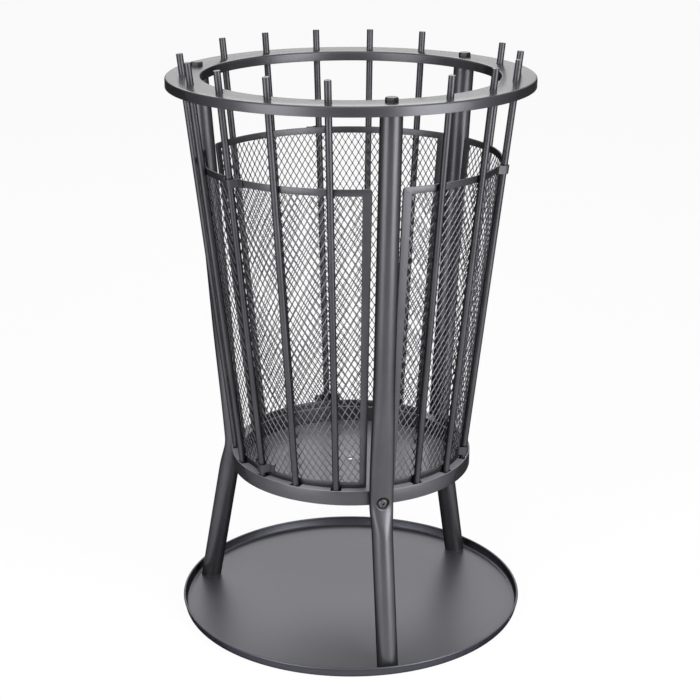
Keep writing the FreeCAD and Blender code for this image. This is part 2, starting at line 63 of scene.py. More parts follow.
def turned(x, y, z, angle):
    # a point drawn with outward along +X, at an angle from the front leg towards the right
    heading = math.radians(angle - 90)
    across = x * math.cos(heading) - y * math.sin(heading)
    along = x * math.sin(heading) + y * math.cos(heading)
    return Vector((across, along, z)) * mm


def barPitch(height):
    return layout["barLowPitch"] + (height - layout["baseTop"]) * barSlope


def eased(share):
    share = max(0, min(1, share))
    return share * share * (3 - 2 * share)


# shader values that can be written as sums

class Value:
    def __init__(self, shader, socket):
        self.shader = shader
        self.socket = socket

    def sum(self, operation, first, second):
        return self.shader.node("ShaderNodeMath", {"operation": operation}, {0: first, 1: second})

    def __add__(self, other):
        return self.sum("ADD", self, other)

    def __sub__(self, other):
        return self.sum("SUBTRACT", self, other)

    def __rsub__(self, other):
        return self.sum("SUBTRACT", other, self)

    def __mul__(self, other):
        return self.sum("MULTIPLY", self, other)

    __radd__ = __add__
    __rmul__ = __mul__


class Finish:
    # the node tree of one material or world
    def __init__(self, owner, outputKind="ShaderNodeOutputMaterial"):
        owner.use_nodes = True
        self.owner = owner
        self.tree = owner.node_tree
        self.tree.nodes.clear()
        self.result = self.tree.nodes.new(outputKind)

    def feed(self, socket, value):
        if isinstance(value, Value):
            self.tree.links.new(value.socket, socket)
        else:
            socket.default_value = value

    def node(self, kind, settings=None, inputs=None, output=0):
        made = self.tree.nodes.new(kind)
        for name, setting in (settings or {}).items():
            setattr(made, name, setting)
        for name, value in (inputs or {}).items():
            self.feed(made.inputs[name], value)
        return Value(self, made.outputs[output])

    def blend(self, factor, first, second):
        mix = {"data_type": "RGBA", "clamp_factor": True}
        return self.node("ShaderNodeMix", mix, {0: factor, 6: first, 7: second}, 2)

    def noise(self, place, scale, detail=2.0, roughness=0.5):
        inputs = {"Vector": place, "Scale": scale, "Detail": detail, "Roughness": roughness}
        return self.node("ShaderNodeTexNoise", {}, inputs)

    def span(self, value, low, high, newLow=0.0, newHigh=1.0):
        inputs = {"Value": value, "From Min": low, "From Max": high, "To Min": newLow, "To Max": newHigh}
        return self.node("ShaderNodeMapRange", {"clamp": True}, inputs)

    def close(self, surface):
        self.tree.links.new(surface.socket, self.result.inputs["Surface"])
        return self.owner


def grey(level, tint=(1, 1, 1)):
    return (level * tint[0], level * tint[1], level * tint[2], 1)


cloudBand = (0.32, 0.68)    # stretch of the noise that runs from dark to light
fleckBand = (0.62, 0.74)    # and that turns into flecks


def metalFinish(name, look):
    # satin paint, bare metal or plastic: cloudy tone, fine grain, light flecks, and edges painted paler, a
    # painted highlight on paint and wear on bare metal
    shader = Finish(bpy.data.materials.new(name))
    place = shader.node("ShaderNodeTexCoord", output="Object")
    clouds = shader.noise(place, look["cloudScale"], 4.0, 0.6)
    grain = shader.noise(place, look["grainScale"], 2.0, 0.6)
    specks = shader.noise(place, look["grainScale"] * look["speckShare"], 3.0, 0.7)
    dark, light, paleColour, paintedTopColour = [grey(look[tone], look["tint"])
                                for tone in ("dark", "light", "paleTone", "paintedTopTone")]
    colour = shader.blend(shader.span(clouds, *cloudBand), dark, light)
    colour = shader.blend(shader.span(specks, *fleckBand) * look["fleck"], colour, paleColour)
    edge = shader.node("ShaderNodeNewGeometry", output="Pointiness") + (specks - 0.5) * look["edgeRagged"]
    brightEdge = shader.span(edge, look["edgeFrom"], look["edgeFull"])
    # convex edges are painted paler: a painted highlight on paint, and wear where the metal is bare
    colour = shader.blend(brightEdge * look["edgeWearAndHighlight"], colour, paleColour)
    rough = look["roughness"] + (clouds - 0.5) * look["roughDrift"] + (grain - 0.5) * look["roughGrain"]
    relief = grain + specks * look["speckRelief"]
    bump = shader.node("ShaderNodeBump", {}, {
        "Strength": look["grainStrength"], "Distance": look["grainDepth"] * mm, "Height": relief})
    facing = shader.node("ShaderNodeTexCoord", output="Normal")
    upward = shader.node("ShaderNodeSeparateXYZ", {}, {"Vector": facing}, "Z")
    # paint flows out thicker on what faces up, so the coat is thicker there; what faces up is also painted
    # paler, a painted highlight
    upShare = shader.span(upward, look["upFrom"], look["upFull"])
    metallic, coat = look["metallic"], look["coat"]
    # painted top light: faces turned up are painted paler and less metallic, a painted highlight for the
    # light they catch from above
    if look["paintedTopLight"]:
        colour = shader.blend(upShare * look["paintedTopLight"], colour, paintedTopColour)
    if look["paintedTopLight"] and metallic:
        metallic = metallic * (1 - upShare * look["paintedTopLight"])
    if coat:
        coat = upShare * coat
    surface = shader.node("ShaderNodeBsdfPrincipled", {}, {
        "Base Color": colour, "Roughness": rough, "Normal": bump, "Metallic": metallic, "IOR": look["ior"],
        "Specular IOR Level": look["specular"], "Specular Tint": grey(look["rim"]),
        "Coat Weight": coat, "Coat IOR": look["coatIor"], "Coat Roughness": look["coatRoughness"]})
    return shader.close(surface)


paintLook = {
    "tint": (0.97, 0.97, 1.06),
    "dark": 0.052, "light": 0.062,     # anthracite, as cloudy as sprayed paint is
    "paleTone": 0.18,                      # the paler tone of the flecks and of the edges: a painted highlight on paint, wear on bare metal
    "edgeFrom": 0.53, "edgeFull": 0.62, "edgeWearAndHighlight": 0.1, "edgeRagged": 0.05, "fleck": 0.12,
    "roughness": 0.33, "roughDrift": 0.1, "roughGrain": 0.1,
    "cloudScale": 14, "grainScale": 1500, "speckShare": 0.31, "speckRelief": 0.7,
    "grainDepth": 0.03, "grainStrength": 0.5,
    "metallic": 0.8, "ior": 1.5, "specular": 0.0, "rim": 0.0,
    "coat": 1.0, "coatIor": 1.56, "coatRoughness": 0.24,
    # share and tone of the painted top light, and the range of facing up over which it comes in
    "paintedTopLight": 0.26, "paintedTopTone": 0.16, "upFrom": 0.6, "upFull": 0.97,
}
finishes = {
    "anthracite_paint": metalFinish("AnthracitePaint", paintLook),
    "tray_paint": metalFinish("TrayPaint", paintLook | {
        "dark": 0.052, "light": 0.06, "roughness": 0.36, "cloudScale": 6,
        "tint": (0.94, 0.94, 1.12), "fleck": 0.2, "paintedTopLight": 0.16,
        "coatIor": 1.58, "coatRoughness": 0.38}),
    # the floor plate is painted much paler on top: painted light over the shade of the basket
    "plate_paint": metalFinish("PlatePaint", paintLook | {
        "dark": 0.06, "light": 0.07, "paintedTopLight": 0.7, "paintedTopTone": 0.31, "roughness": 0.42, "cloudScale": 6}),
    "mesh_paint": metalFinish("MeshPaint", paintLook | {
        "dark": 0.066, "light": 0.084, "roughness": 0.4, "edgeWearAndHighlight": 0.2}),
    # the legs' wide range of facing up spreads the painted top light down the leaning lower leg, a painted
    # highlight
    "leg_paint": metalFinish("LegPaint", paintLook | {"upFrom": 0.06, "upFull": 0.9}),
    # the bars and clips get a darker copy of the same anthracite paint: painted shade
    "bar_paint": metalFinish("BarPaint", paintLook | {"dark": 0.04, "light": 0.052}),
    "black_plastic": metalFinish("FootPlastic", paintLook | {
        "dark": 0.018, "light": 0.026, "paleTone": 0.06, "roughness": 0.55, "specular": 0.4,
        "metallic": 0.0, "rim": 1.0, "coat": 0.0, "paintedTopLight": 0.0,
        "grainScale": 900, "grainDepth": 0.06}),
    "dark_screw_steel": metalFinish("ScrewSteel", paintLook | {
        "tint": (1, 0.99, 0.97), "dark": 0.04, "light": 0.1, "paleTone": 0.3, "edgeFull": 0.6,
        "edgeWearAndHighlight": 0.6, "fleck": 0.4,
        "roughness": 0.3, "metallic": 0.9, "rim": 0.5, "coat": 0.0, "paintedTopLight": 0.0,
        "cloudScale": 260}),
    "bolt_paint": metalFinish("BoltPaint", paintLook | {
        "dark": 0.026, "light": 0.034, "paintedTopLight": 0.12, "roughness": 0.28, "cloudScale": 60}),
    # the base flange is painted much paler on top: a painted reflection of the bright background
    "base_paint": metalFinish("BasePaint", paintLook | {
        "dark": 0.06, "light": 0.072, "paintedTopLight": 0.8, "paintedTopTone": 0.34, "coat": 0.55}),
    "zinc_steel": metalFinish("ZincSteel", paintLook | {
        "tint": (1, 1, 1.02), "dark": 0.4, "light": 0.55, "paleTone": 0.7, "roughness": 0.36,
        "metallic": 1.0, "rim": 1.0, "coat": 0.0, "paintedTopLight": 0.0, "cloudScale": 120}),
}
print("finishes:", len(finishes))


# pieces

def addPiece(name, shape, body, nodes, finish="anthracite_paint", crease=30):
    bmesh.ops.recalc_face_normals(shape, faces=shape.faces)
    skin = bpy.data.meshes.new(name)
    shape.to_mesh(skin)
    shape.free()
    skin.shade_smooth()
    skin.set_sharp_from_angle(angle=math.radians(crease))
    skin.materials.append(finishes[finish])
    piece = bpy.data.objects.new(name, skin)
    bpy.context.scene.collection.objects.link(piece)
    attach(piece, body)
    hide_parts(*nodes)
    return piece


def softLine(corners, closed=True, steps=4):
    # rounds the corners of a line; each is (x, y) or (x, y, radius)
    points = []
    for number, corner in enumerate(corners):
        here = Vector(corner[:2])
        radius = corner[2] if len(corner) > 2 else 0
        atEnd = not closed and number in (0, len(corners) - 1)
        if radius <= 0 or atEnd:
            points.append(here)
            continue
        before = (Vector(corners[number - 1][:2]) - here).normalized()
        after = (Vector(corners[(number + 1) % len(corners)][:2]) - here).normalized()
        half = before.angle(after) / 2
        centre = here + (before + after).normalized() * radius / math.sin(half)
        start = here + before * radius / math.tan(half) - centre
        stop = here + after * radius / math.tan(half) - centre
        for step in range(steps + 1):
            points.append(centre + start.slerp(stop, step / steps) * radius)
    return points


def bridge(shape, first, second):
    # quads between two rings of corners; corners that meet give a triangle or nothing
    for number in range(len(first)):
        after = (number + 1) % len(first)
        around = [first[number], first[after], second[after], second[number]]
        corners = [vert for place, vert in enumerate(around) if vert not in around[:place]]
        if len(corners) > 2:
            shape.faces.new(corners)


def spin(outline, angles):
    # an outline of radius and height turned round the axis; an outline point on the axis is one corner
    shape = bmesh.new()
    poles = {number: shape.verts.new((0, 0, point.y * mm))
             for number, point in enumerate(outline) if point.x < 0.001}
    rows = []
    for angle in angles:
        rows.append([poles.get(number) or shape.verts.new(turned(point.x, 0, point.y, angle))
                     for number, point in enumerate(outline)])
    for number, row in enumerate(rows):
        bridge(shape, row, rows[(number + 1) % len(rows)])
    return shape


def evenAngles(steps):
    return [360 * step / steps for step in range(steps)]


ring = {"outer": 215, "inner": 173.5, "depth": 11.5, "sheet": 1.5, "round": 1.2, "edge": 0.3, "steps": 216}


def makeTopRing():
    top = layout["ringTop"]
    low = top - ring["depth"]
    sheet, edge = ring["sheet"], ring["edge"]
    outside = ring["round"] + sheet
    outline = softLine([
        (ring["outer"], low, edge), (ring["outer"], top, outside),
        (ring["inner"], top, outside), (ring["inner"], low, edge),
        (ring["inner"] + sheet, low, edge), (ring["inner"] + sheet, top - sheet, ring["round"]),
        (ring["outer"] - sheet, top - sheet, ring["round"]), (ring["outer"] - sheet, low, edge),
    ])
    return addPiece("TopRing", spin(outline, evenAngles(ring["steps"])), "stand", ["top_ring"])


base = {
    "outer": 147.8, "inner": 133.5, "depth": 17.5, "sheet": 1.2, "round": 1.0, "edge": 0.25,
    "rimRound": 0.8, "soft": 0.2,
    "ledgeDrop": 20.3, "ledgeWidth": 11,
    "slotInner": 136.4, "slotHalf": 6,    # slots in the flange that the bars pass
    "slotSteps": 4, "landSteps": 12,
}


def baseSection():
    # the ring's section, and which of its points a slot cuts between
    top, sheet, edge = layout["baseTop"], base["sheet"], base["edge"]
    under, wall = top - sheet, base["inner"] + sheet
    foot, slotOuter = top - base["depth"], base["outer"] - sheet
    ledge, lip = top - base["ledgeDrop"], base["inner"] - base["ledgeWidth"]
    outline = softLine([
        (base["outer"], foot, edge), (base["outer"], top, base["rimRound"]),
        (slotOuter, top), (base["slotInner"], top),
        (base["inner"], top, base["round"]), (base["inner"], ledge), (lip, ledge, edge),
        (lip, ledge - sheet, edge), (wall, ledge - sheet, base["round"] + sheet),
        (wall, under), (base["slotInner"], under), (slotOuter, under), (slotOuter, foot, edge),
    ])
    cuts = [(slotOuter, top), (base["slotInner"], top), (base["slotInner"], under), (slotOuter, under)]
    corners = [min(range(len(outline)), key=lambda number: (outline[number] - Vector(cut)).length)
               for cut in cuts]
    return outline, corners


def baseAngles():
    # angles of the ring's rows, and whether a slot lies between each and the next
    spread = math.degrees(base["slotHalf"] / (base["slotInner"] + base["outer"] - base["sheet"]) * 2)
    angles, slotted = [], []
    for place in range(layout["places"]):
        middle = place * placeAngle
        for step in range(base["slotSteps"]):
            angles.append(middle + spread * (2 * step / base["slotSteps"] - 1))
            slotted.append(place % layout["sector"] != 0)
        for step in range(base["landSteps"]):
            angles.append(middle + spread + (placeAngle - 2 * spread) * step / base["landSteps"])
            slotted.append(False)
    return angles, slotted


def makeBottomRing():
    outline, corners = baseSection()
    topOuter, topInner, underInner, underOuter = corners
    openEdges = [{topOuter, topInner}, {underOuter, underInner}]
    angles, slotted = baseAngles()
    shape = bmesh.new()
    rows = [[shape.verts.new(turned(point.x, 0, point.y, angle)) for point in outline] for angle in angles]
    for number, row in enumerate(rows):
        after = (number + 1) % len(rows)
        following = rows[after]
        for first in range(len(outline)):
            second = (first + 1) % len(outline)
            if slotted[number] and {first, second} in openEdges:
                continue
            shape.faces.new([row[first], row[second], following[second], following[first]])
        if not slotted[number]:
            continue
        for upper, lower in ((topOuter, underOuter), (topInner, underInner)):
            shape.faces.new([row[upper], row[lower], following[lower], following[upper]])
        for endRow, beyond in ((row, number - 1), (following, after)):
            if not slotted[beyond]:
                shape.faces.new([endRow[corner] for corner in corners])
    piece = addPiece("BottomRing", shape, "stand", ["bottom_ring"], "base_paint")
    return soften(piece, base["soft"])


def soften(piece, width, segments=2, angle=40):
    # small rounds on the sharp edges, so that they catch the light
    bevel = piece.modifiers.new("Rounds", "BEVEL")
    bevel.width = width * mm
    bevel.segments = segments
    bevel.limit_method = "ANGLE"
    bevel.angle_limit = math.radians(angle)
    bevel.harden_normals = True
    bevel.use_clamp_overlap = True
    return piece


plate = {
    "radius": 132.3, "hole": 4, "low": 187.6, "sheet": 1.5, "edge": 0.4, "underEdge": 0.2,
    "rows": (0.6, 0.2), "steps": 144,
}


def makeFloorPlate():
    top = plate["low"] + plate["sheet"]
    face = [(plate["radius"] * share, top) for share in plate["rows"]]
    outline = softLine([
        (plate["radius"], plate["low"], plate["underEdge"]), (plate["radius"], top, plate["edge"]), *face,
        (plate["hole"], top, plate["edge"]), (plate["hole"], plate["low"], plate["underEdge"]),
    ])
    return addPiece("FloorPlate", spin(outline, evenAngles(plate["steps"])), "floor", ["floor_plate"],
                    "plate_paint")


tray = {
    "radius": 214, "height": 12.5, "sheet": 1.2, "round": 3, "flare": 1.5, "steps": 216, "middle": 120,
    "hem": 1.5, "hemStart": -60, "hemTurn": 300, "hemSteps": 14,    # the rolled rim
}


def makeTray():
    half = tray["sheet"] / 2
    head = tray["radius"] - tray["hem"]
    foot = head - tray["flare"]
    hemHeight = tray["height"] - tray["hem"]
    hem = []
    for step in range(tray["hemSteps"] + 1):
        turn = math.radians(tray["hemStart"] + tray["hemTurn"] * step / tray["hemSteps"])
        hem.append((head + tray["hem"] * math.cos(turn), hemHeight + tray["hem"] * math.sin(turn)))
    middle, sheet = tray["middle"], tray["sheet"]
    under = [(0, 0), (middle, 0), (foot + half, 0, tray["round"] + sheet)]
    inside = [(foot - half, sheet, tray["round"]), (middle, sheet), (0, sheet)]
    outline = softLine(under + hem + inside, steps=6)
    shape = spin(outline, evenAngles(tray["steps"]))
    return addPiece("AshTray", shape, "ash_tray", ["base_tray"], "tray_paint")


print("rings and tray:", makeTopRing().name, makeBottomRing().name, makeFloorPlate().name, makeTray().name)


bar = {
    "radius": 4, "above": 24.5, "chamfer": 0.6, "steps": 28, "rows": 12,
    "beadRadius": 4.4, "beadHeight": 0.45, "beadWave": 0.012,    # weld where it leaves the ring
    "beadFoot": 0.4, "beadTuck": 0.3,                            # how far the weld starts below and inside
}


def leaning(angle, height, radius, steps, wave=0.0):
    # a circle square to a leaning bar, round its axis at a height
    points = []
    for step in range(steps):
        turn = 2 * math.pi * step / steps
        reach = radius * (1 + wave * draws.uniform(-1, 1))
        out, across = reach * math.cos(turn), reach * math.sin(turn)
        rise = -out * barSlope / barStretch
        points.append(turned(barPitch(height) + out / barStretch, across, height + rise, angle))
    return points


def makeBar(number, angle):
    lift = bar["radius"] * barSlope / barStretch
    low = layout["baseTop"] - base["depth"] + lift
    high = layout["ringTop"] + bar["above"]
    radius, chamfer = bar["radius"], bar["chamfer"]
    stations = [(low, radius - chamfer), (low + chamfer, radius)]
    for row in range(1, bar["rows"]):
        stations.append((low + (high - low) * row / bar["rows"], radius))
    nearTop = 0.3 * chamfer
    stations += [(high - chamfer, radius), (high - nearTop, radius - nearTop), (high, radius - chamfer)]
    shape = bmesh.new()
    rows = [[shape.verts.new(point) for point in leaning(angle, height, reach, bar["steps"])]
            for height, reach in stations]
    for first, second in zip(rows, rows[1:]):
        bridge(shape, first, second)
    shape.faces.new(rows[0])
    shape.faces.new(rows[-1])
    top, foot, tuck = layout["ringTop"], bar["beadFoot"], bar["beadTuck"]
    crown = top + bar["beadHeight"]
    bead = [(top - foot, bar["beadRadius"]), (top + 0.2, bar["beadRadius"] - 0.05), (crown, radius + 0.15),
            (crown + 0.2, radius - tuck), (top - foot, radius - tuck)]
    rows = [[shape.verts.new(point)
             for point in leaning(angle, height, reach, bar["steps"], bar["beadWave"])]
            for height, reach in bead]
    for first, second in zip(rows, rows[1:] + rows[:1]):
        bridge(shape, first, second)
    return addPiece(f"Bar_{number:02d}", shape, "stand", [f"bar_{number:02d}"], "bar_paint")


for number, angle in enumerate(barAngles, 1):
    makeBar(number, angle)
print("bars:", len(barAngles))


leg = {
    "radius": 12.5, "topPitch": 191.7, "footPitch": 192.6, "footHeight": 1.2,
    "low": 3.3, "high": 668.4,
    "bendPitch": 156.95, "bendHeight": 199, "bendRadius": 60,
    "flatDepth": 9, "flatWidth": 14,                 # half sizes of the pressed part
    "start": 160, "full": 24, "hold": 2, "end": 40,  # where it begins and is full, above and below the bend
    "power": 0.8, "steps": 96, "rise": 3, "fine": 720,
    "dimple": 7, "dimpleDepth": 3.2, "dimpleEdge": 2,
}


def touchHeight(pitch, height, side):
    # where the line from an end of the leg meets the bend's arc
    reach = Vector((pitch - leg["bendPitch"] - leg["bendRadius"], height - leg["bendHeight"]))
    angle = math.atan2(reach.y, reach.x) + side * math.acos(leg["bendRadius"] / reach.length)
    return Vector((leg["bendPitch"] + leg["bendRadius"] * (1 + math.cos(angle)),
                   leg["bendHeight"] + leg["bendRadius"] * math.sin(angle)))


upperTouch = touchHeight(leg["topPitch"], layout["ringTop"], 1)
lowerTouch = touchHeight(leg["footPitch"], leg["footHeight"], -1)


def legPitch(height):
    if height >= upperTouch.y:
        slope = (leg["topPitch"] - upperTouch.x) / (layout["ringTop"] - upperTouch.y)
        return upperTouch.x + (height - upperTouch.y) * slope
    if height <= lowerTouch.y:
        slope = (leg["footPitch"] - lowerTouch.x) / (leg["footHeight"] - lowerTouch.y)
        return lowerTouch.x + (height - lowerTouch.y) * slope
    drop = height - leg["bendHeight"]
    return leg["bendPitch"] + leg["bendRadius"] - math.sqrt(leg["bendRadius"] ** 2 - drop ** 2)


def pressedShare(height):
    rise = height - leg["bendHeight"]
    if rise > 0:
        return eased((leg["start"] - rise) / (leg["start"] - leg["full"]))
    return eased((leg["end"] + rise) / (leg["end"] - leg["hold"]))


def legSection(height):
    # evenly spaced points round a level cut, from a circle to a flattened oval
    press = pressedShare(height)
    width = leg["radius"] + press * (leg["flatWidth"] - leg["radius"])
    depth = leg["radius"] + press * (leg["flatDepth"] - leg["radius"])
    stretch = math.hypot(1, legPitch(height + 0.5) - legPitch(height - 0.5))
    power = 2 / (2 + leg["power"] * press)
    fine = []
    for step in range(leg["fine"] + 1):
        turn = 2 * math.pi * step / leg["fine"]
        across = math.copysign(abs(math.sin(turn)) ** power, math.sin(turn)) * width
        inward = math.copysign(abs(math.cos(turn)) ** power, math.cos(turn)) * depth * stretch
        fine.append(Vector((legPitch(height) - inward, across)))
    lengths = [0.0]
    for first, second in zip(fine, fine[1:]):
        lengths.append(lengths[-1] + (second - first).length)
    points, place = [], 0
    for step in range(leg["steps"]):
        wanted = lengths[-1] * step / leg["steps"]
        while lengths[place + 1] < wanted:
            place += 1
        share = (wanted - lengths[place]) / (lengths[place + 1] - lengths[place])
        points.append(fine[place].lerp(fine[place + 1], share))
    return points


def makeLeg(side, angle):
    shape = bmesh.new()
    count = round((leg["high"] - leg["low"]) / leg["rise"])
    heights = [leg["low"] + (leg["high"] - leg["low"]) * step / count for step in range(count + 1)]
    rows = [[shape.verts.new((point.x, point.y, height)) for point in legSection(height)]
            for height in heights]
    for first, second in zip(rows, rows[1:]):
        bridge(shape, first, second)
    shape.faces.new(rows[0])
    shape.faces.new(rows[-1])
    # a closer grid round the screw, then the round dimple that its head sits in
    reach = leg["dimple"] + 3 * leg["dimpleEdge"]

    def nearScrew(vert, room):
        offset = Vector((vert.co.y, vert.co.z - leg["bendHeight"]))
        return vert.co.x > leg["bendPitch"] and offset.length < room

    for cuts in (2, 1):
        edges = [edge for edge in shape.edges if all(nearScrew(vert, reach) for vert in edge.verts)]
        bmesh.ops.subdivide_edges(shape, edges=edges, cuts=cuts, use_grid_fill=True, smooth=0)
    rim = leg["dimple"] + leg["dimpleEdge"] / 2
    for vert in shape.verts:
        if nearScrew(vert, reach):
            offset = math.hypot(vert.co.y, vert.co.z - leg["bendHeight"])
            vert.co.x -= leg["dimpleDepth"] * eased((rim - offset) / leg["dimpleEdge"])
    for vert in shape.verts:
        vert.co = turned(vert.co.x, vert.co.y, vert.co.z, angle)
    return addPiece("Leg_" + side, shape, "stand", ["leg_" + side], "leg_paint", crease=50)


for side, angle in legAngles.items():
    makeLeg(side, angle)
print("legs:", len(legAngles))


panel = {
    "low": 207.9, "high": 574, "halfAngle": 54.5, "windowHalf": 51.15, "band": 8,
    "thick": 2.4, "foldRound": 0.6, "lipRound": 0.3, "corner": 3, "lowCorner": 2, "gap": 0.3,
    "sideSteps": 24, "arcSteps": 60, "cornerSteps": 6, "merge": 0.02,
}
barLean = math.atan(barSlope)


def panelFace(height):
    # radius of a panel's outer face
    return barPitch(height) - bar["radius"] / math.cos(barLean) - panel["gap"]


def panelLoop(inset):
    # angle and height of points round a panel, a distance inside its edge
    share = inset / panel["band"]
    half = panel["halfAngle"] + (panel["windowHalf"] - panel["halfAngle"]) * share
    low, high = panel["low"] + inset, panel["high"] - inset
    loop = []

    def corner(side, height, up, radius, backwards=False):
        radius = max(radius - inset, 0)
        wide = math.degrees(radius / panelFace(height))
        turns = [math.pi / 2 * step / panel["cornerSteps"] for step in range(panel["cornerSteps"] + 1)]
        for turn in reversed(turns) if backwards else turns:
            around = side * (half - wide * (1 - math.cos(turn)))
            loop.append((around, height - up * radius * (1 - math.sin(turn))))

    def run(start, stop, steps):
        for step in range(1, steps):
            loop.append(tuple(near + (far - near) * step / steps for near, far in zip(start, stop)))

    corner(-1, low, -1, panel["lowCorner"], backwards=True)
    run((-half, low), (-half, high), panel["sideSteps"])
    corner(-1, high, 1, panel["corner"])
    run((-half, high), (half, high), panel["arcSteps"])
    corner(1, high, 1, panel["corner"], backwards=True)
    run((half, high), (half, low), panel["sideSteps"])
    corner(1, low, -1, panel["lowCorner"])
    run((half, low), (-half, low), panel["arcSteps"])
    return loop


def makePanelFrame(side, angle):
    # a flat strip folded over the edge of the mesh
    thick, fold, lip = panel["thick"], panel["foldRound"], panel["lipRound"]
    band = panel["band"]
    section = softLine([(0, 0, fold), (0, thick, fold), (band, thick, lip), (band, 0, lip)], steps=3)
    shape = bmesh.new()
    rows = []
    for inset, depth in section:
        rows.append([shape.verts.new(turned(panelFace(height) - depth, 0, height, angle + around))
                     for around, height in panelLoop(inset)])
    for first, second in zip(rows, rows[1:] + rows[:1]):
        bridge(shape, first, second)
    bmesh.ops.remove_doubles(shape, verts=shape.verts, dist=panel["merge"] * mm)
    return addPiece("PanelFrame_" + side, shape, "panel_" + side, ["panel_frame_" + side], crease=40)


mesh = {
    "wide": 8.2, "tall": 13.3,      # one diamond
    "strand": 0.95, "thick": 0.6, "twist": 16,
    "knotWide": 1.9, "knotTall": 3.2, "knotSwell": 1.15,
    "tuck": 3.5, "depth": 1.2, "lift": 2, "spare": 6,
}
coneSine = math.sin(barLean)


def meshPoint(flatAcross, flatUp, depth, angle):
    # a point of the flat sheet, measured from the middle of its lower edge, rolled on to the cone
    slantLow = (panelFace(panel["low"]) - mesh["depth"]) / coneSine
    slant = math.hypot(flatAcross, slantLow + flatUp)
    around = math.degrees(math.atan2(flatAcross, slantLow + flatUp) / coneSine)
    height = panel["low"] + (slant - slantLow) * math.cos(barLean)
    return around, height, turned(panelFace(height) - mesh["depth"] - depth, 0, height, angle + around)


def meshKnots():
    # places on the flat sheet of the grid's corners that lie within the frame, by column and row
    stepAcross, stepUp = mesh["wide"] / 2, mesh["tall"] / 2
    edge = panel["band"] - mesh["tuck"]
    halfArc = panel["windowHalf"] + math.degrees(mesh["tuck"] / panelFace(panel["low"]))
    widest = panelFace(panel["high"]) * math.radians(panel["halfAngle"])
    columns = int(widest / stepAcross) + mesh["spare"]
    rows = int((panel["high"] - panel["low"]) * barStretch / stepUp) + mesh["spare"]
    knots = {}
    for row in range(-mesh["spare"], rows):
        for column in range(-columns, columns + 1):
            across, up = column * stepAcross, row * stepUp + mesh["lift"]
            around, height = meshPoint(across, up, 0, 0)[:2]
            inside = abs(around) < halfArc and panel["low"] + edge < height < panel["high"] - edge
            if inside and (row + column) % 2 == 0:
                knots[(column, row)] = (across, up)
    return knots


def makeMesh(side, angle):
    # slit and stretched sheet: a knot at each corner of the grid and a thin twisted strand to the next
    points, faces = [], []

    def addBlock(outline, faceLists):
        first = len(points)
        points.extend(outline)
        faces.extend([[first + corner for corner in face] for face in faceLists])

    knotShape = [(0, -0.5), (0.5, -0.2), (0.5, 0.2), (0, 0.5), (-0.5, 0.2), (-0.5, -0.2)]
    knotFaces = [[5, 4, 3, 2, 1, 0], [6, 7, 8, 9, 10, 11]]
    knotFaces += [[corner, (corner + 1) % 6, (corner + 1) % 6 + 6, corner + 6] for corner in range(6)]
    strandFaces = [[0, 1, 2, 3], [7, 6, 5, 4], [0, 4, 5, 1], [1, 5, 6, 2], [2, 6, 7, 3], [3, 7, 4, 0]]
    knots = meshKnots()
    halfThick = mesh["thick"] / 2
    knotThick = halfThick * mesh["knotSwell"]
    for (column, row), (across, up) in knots.items():
        outline = []
        for depth in (-knotThick, knotThick):
            for x, y in knotShape:
                spot = (across + x * mesh["knotWide"], up + y * mesh["knotTall"])
                outline.append(meshPoint(*spot, depth, angle)[2])
        addBlock(outline, knotFaces)
        for lean in (-1, 1):
            other = knots.get((column + lean, row + 1))
            if other is None:
                continue
            along = Vector((other[0] - across, other[1] - up)).normalized()
            flat = Vector((-along.y, along.x)) * mesh["strand"] / 2
            tilt = math.tan(math.radians(mesh["twist"])) * mesh["strand"] / 2 * (1 if flat.y > 0 else -1)
            outline = []
            for x, y in ((across, up), other):
                for sign, depthSign in ((-1, -1), (1, -1), (1, 1), (-1, 1)):
                    depth = sign * tilt + depthSign * halfThick
                    outline.append(meshPoint(x + sign * flat.x, y + sign * flat.y, depth, angle)[2])
            addBlock(outline, strandFaces)
    sheet = bpy.data.meshes.new("MeshSheet")
    sheet.from_pydata(points, [], faces)
    shape = bmesh.new()
    shape.from_mesh(sheet)
    bpy.data.meshes.remove(sheet)
    return addPiece("PanelMesh_" + side, shape, "panel_" + side, ["panel_mesh_" + side], "mesh_paint",
                    crease=20)


clip = {
    "height": 10, "sheet": 1.2, "ear": 17, "span": 9, "hump": 5.0, "gap": 0.15,
    "shoulderOut": 0.55, "shoulderAcross": 1.12, "crownAcross": 0.62, "bend": 0.9,
    "soft": 0.2, "low": 213.5, "top": 564.5,
}


def clipLine(middle):
    # middle line of the strip, seen along the bar: ear, shoulder and crown, and back down
    face, hump, bend = panelFace(middle), clip["hump"], clip["bend"]
    half = []
    for across in (clip["ear"], clip["span"]):
        sag = math.sqrt(face ** 2 - across ** 2) - face
        half.append((face - barPitch(middle) + sag + clip["gap"] + clip["sheet"] / 2, across, bend))
    half.append((hump * clip["shoulderOut"], hump * clip["shoulderAcross"], bend))
    half.append((hump, hump * clip["crownAcross"], bend))
    mirrored = [(out, -across, bend) for out, across, bend in half[::-1]]
    return softLine(half + mirrored, closed=False, steps=3)


